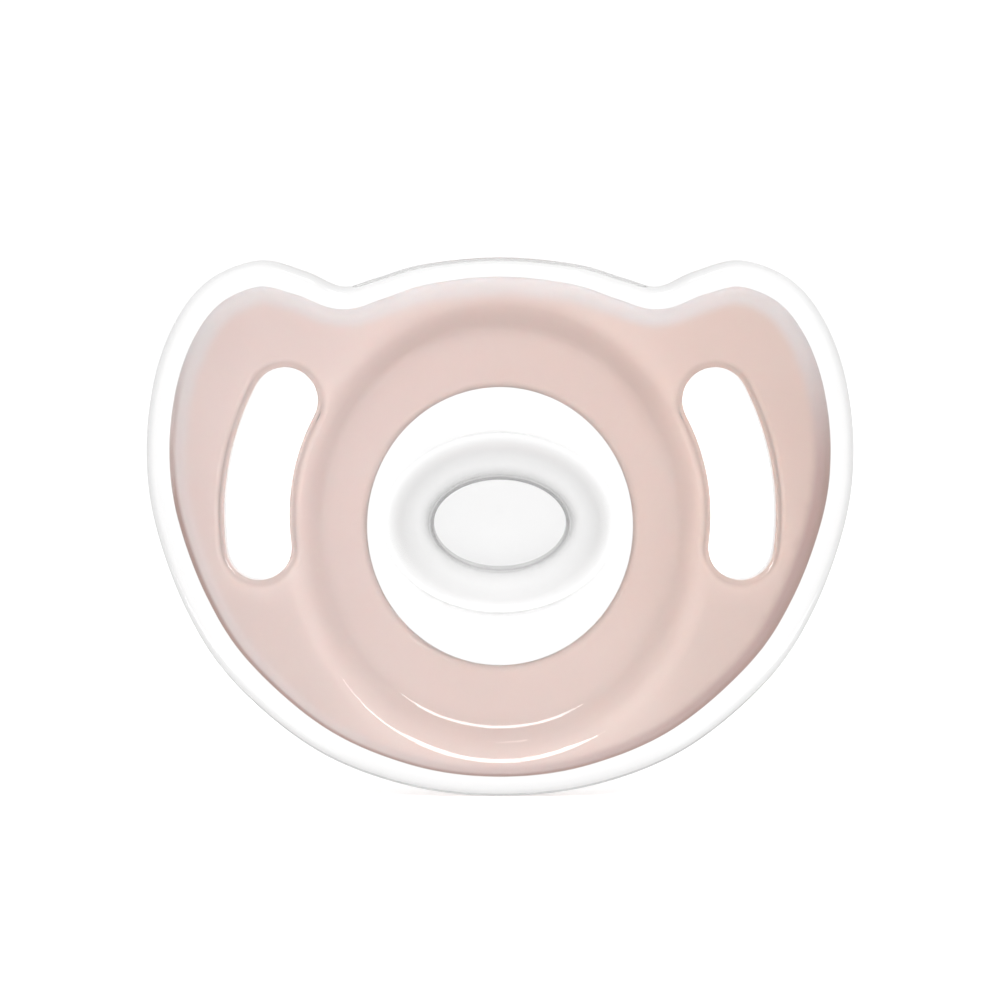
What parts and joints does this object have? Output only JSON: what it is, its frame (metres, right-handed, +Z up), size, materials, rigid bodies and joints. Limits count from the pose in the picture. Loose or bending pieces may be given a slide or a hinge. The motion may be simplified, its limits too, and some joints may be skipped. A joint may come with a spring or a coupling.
{
  "type": "pacifier",
  "caption": "Soft baby pacifier: a hollow clear silicone nipple and an eared shield moulded round a translucent pink plate with bent vents.",
  "frame": {"origin": "centre of the box's bottom: the shield's lowest edge is on Z = 0, midway between the shield's front and the nipple's tip", "axes": "+X across the shield, +Z up towards the two ears, +Y from the open front towards the nipple's tip"},
  "size_m": [0.052, 0.0326, 0.0392],
  "materials": {
    "clear_silicone": "clear, smooth and slightly milky liquid silicone rubber",
    "pink_plastic": "translucent pale pink moulded plastic"
  },
  "bodies": {
    "root": {"nipple_body": "clear_silicone", "stiffener_plate": "pink_plastic", "front_skin": "clear_silicone"}
  },
  "joints": []
}
